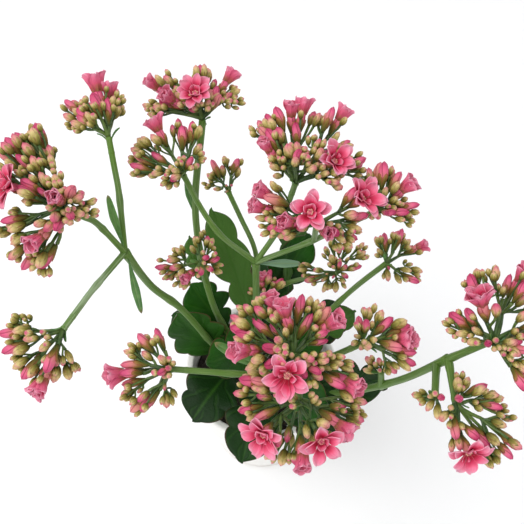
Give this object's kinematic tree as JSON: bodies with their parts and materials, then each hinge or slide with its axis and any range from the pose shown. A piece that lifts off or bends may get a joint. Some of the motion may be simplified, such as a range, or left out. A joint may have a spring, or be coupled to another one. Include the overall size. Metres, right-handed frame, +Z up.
{
  "type": "potted kalanchoe",
  "caption": "Kalanchoe plant with clusters of double pink flowers on tall branching stems, in a plain round ceramic pot.",
  "frame": {"origin": "middle of the pot's underside, on the surface that it stands on", "axes": "+Z up, +X to the right of someone who looks at the front of the plant, +Y away from them"},
  "size_m": [0.2113, 0.1743, 0.2807],
  "materials": {
    "pot": "satin",
    "soil": "matte",
    "stem": "satin",
    "leaf": "satin",
    "bract": "satin",
    "flower": "matte"
  },
  "bodies": {
    "root": {"pot": "pot", "soil": "soil", "stem_front": "stem", "stem_middle": "stem", "stem_back_left": "stem", "stem_left": "stem", "stem_right": "stem", "stem_mid_right": "stem", "stem_back": "stem", "branch_front_left": "stem", "branch_front_right": "stem", "branch_middle_left": "stem", "branch_middle_up": "stem", "branch_middle_right": "stem", "branch_left_up": "stem", "branch_left_back": "stem", "branch_left_down": "stem", "branch_back_right": "stem", "head_front": "flower", "head_middle_top": "flower", "head_middle_low": "flower", "head_middle_right": "flower", "head_upper_left": "flower", "head_top_left": "flower", "head_back_left": "flower", "head_far_left": "flower", "head_bottom_left": "flower", "head_lower_left": "flower", "head_lower_right": "flower", "head_far_right": "flower", "head_bottom_right": "flower", "head_bottom_small": "flower", "head_small_right": "flower", "head_back_middle": "flower", "head_mid_right": "flower", "head_back": "flower", "head_small_left": "flower", "head_back_right": "flower", "leaf_left": "leaf", "leaf_upright": "leaf", "leaf_back_right": "leaf", "leaf_front_left": "leaf", "leaf_front": "leaf", "leaf_front_right": "leaf", "leaf_right": "leaf", "leaf_small_right": "leaf", "leaf_inner_right": "leaf", "leaf_narrow": "leaf", "leaf_inner_left": "leaf", "leaf_mid_left": "leaf", "leaf_mid_front": "leaf", "leaf_upper_back": "leaf", "leaf_far_back": "leaf", "leaf_low_left": "leaf", "leaf_low_right": "leaf", "bract_left_up": "bract", "bract_left_down": "bract", "bract_back_left": "bract", "bract_middle": "bract", "bract_front": "bract"}
  },
  "joints": []
}
